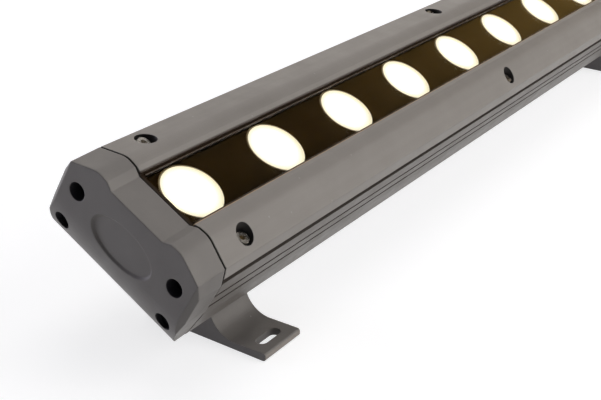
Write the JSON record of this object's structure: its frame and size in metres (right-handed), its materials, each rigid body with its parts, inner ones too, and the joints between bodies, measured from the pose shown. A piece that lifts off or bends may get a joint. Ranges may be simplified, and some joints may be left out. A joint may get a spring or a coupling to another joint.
{
  "type": "outdoor linear wall washer light",
  "caption": "Slim outdoor wall washer light bar: extruded housing, row of lenses under glass, cast end caps, tilting feet on sliding saddles.",
  "frame": {"origin": "middle of the bottom of the middle foot's place, on the mounting surface straight under the tilt axis", "axes": "+X along the light towards the end with the cable gland, +Z away from the mounting surface, -Y towards the tips of the feet"},
  "size_m": [1.0151, 0.0778, 0.0866],
  "materials": {
    "housing_paint": "satin warm grey powder coat",
    "cap_paint": "satin grey powder coat on a casting",
    "bracket_paint": "satin dark grey coat on a casting",
    "glass": "clear toughened glass",
    "lens": "clear moulded lens, lit",
    "mask": "matt dark brown",
    "board": "white coated board",
    "emitter": "yellow dome",
    "lead_sleeve": "red sleeve",
    "driver_case": "matt light grey",
    "rubber_pad": "soft pad",
    "rubber": "matt black",
    "gland": "matt black nylon",
    "steel": "stainless steel"
  },
  "bodies": {
    "housing": {"extrusion": "housing_paint", "bezel_rail_near": "housing_paint", "bezel_rail_far": "housing_paint", "bezel_screws": "steel", "glass": "glass", "glass_seal": "rubber", "lens_mask": "mask", "lens_board": "board", "emitters": "emitter", "board_screws": "steel", "board_leads": "lead_sleeve", "driver": "driver_case", "driver_pad": "rubber_pad", "end_cap_near": "cap_paint", "end_cap_far": "cap_paint", "end_gasket_near": "rubber", "end_gasket_far": "rubber", "end_screws": "steel", "gland_body": "gland", "gland_insert": "rubber", "gland_nut": "gland", "gland_locknut": "gland", "lens_01": "lens", "lens_02": "lens", "lens_03": "lens", "lens_04": "lens", "lens_05": "lens", "lens_06": "lens", "lens_07": "lens", "lens_08": "lens", "lens_09": "lens", "lens_10": "lens", "lens_11": "lens", "lens_12": "lens", "lens_13": "lens", "lens_14": "lens", "lens_15": "lens", "lens_16": "lens", "lens_17": "lens", "lens_18": "lens"},
    "saddle_near": {"saddle_near": "bracket_paint", "slot_nut_near": "steel", "clamp_screws_near": "steel", "pivot_bolt_near": "steel", "pivot_nut_near": "steel"},
    "foot_near": {"foot_near": "bracket_paint"},
    "saddle_middle": {"saddle_middle": "bracket_paint", "slot_nut_middle": "steel", "clamp_screws_middle": "steel", "pivot_bolt_middle": "steel", "pivot_nut_middle": "steel"},
    "foot_middle": {"foot_middle": "bracket_paint"},
    "saddle_far": {"saddle_far": "bracket_paint", "slot_nut_far": "steel", "clamp_screws_far": "steel", "pivot_bolt_far": "steel", "pivot_nut_far": "steel"},
    "foot_far": {"foot_far": "bracket_paint"}
  },
  "joints": [
    {"name": "slide_near", "type": "slide", "parent": "housing", "child": "saddle_near", "axis": [1, 0, 0], "range_m": [-0.015, 0.19]},
    {"name": "tilt_near", "type": "hinge", "parent": "saddle_near", "child": "foot_near", "pos_m": [-0.4455, 0, 0.0234], "axis": [1, 0, 0], "range_deg": [-16, 74]},
    {"name": "slide_middle", "type": "slide", "parent": "housing", "child": "saddle_middle", "axis": [1, 0, 0], "range_m": [-0.19, 0.19]},
    {"name": "tilt_middle", "type": "hinge", "parent": "saddle_middle", "child": "foot_middle", "pos_m": [0, 0, 0.0234], "axis": [1, 0, 0], "range_deg": [-16, 74]},
    {"name": "slide_far", "type": "slide", "parent": "housing", "child": "saddle_far", "axis": [1, 0, 0], "range_m": [-0.19, 0.015]},
    {"name": "tilt_far", "type": "hinge", "parent": "saddle_far", "child": "foot_far", "pos_m": [0.4455, 0, 0.0234], "axis": [1, 0, 0], "range_deg": [-16, 74]}
  ]
}
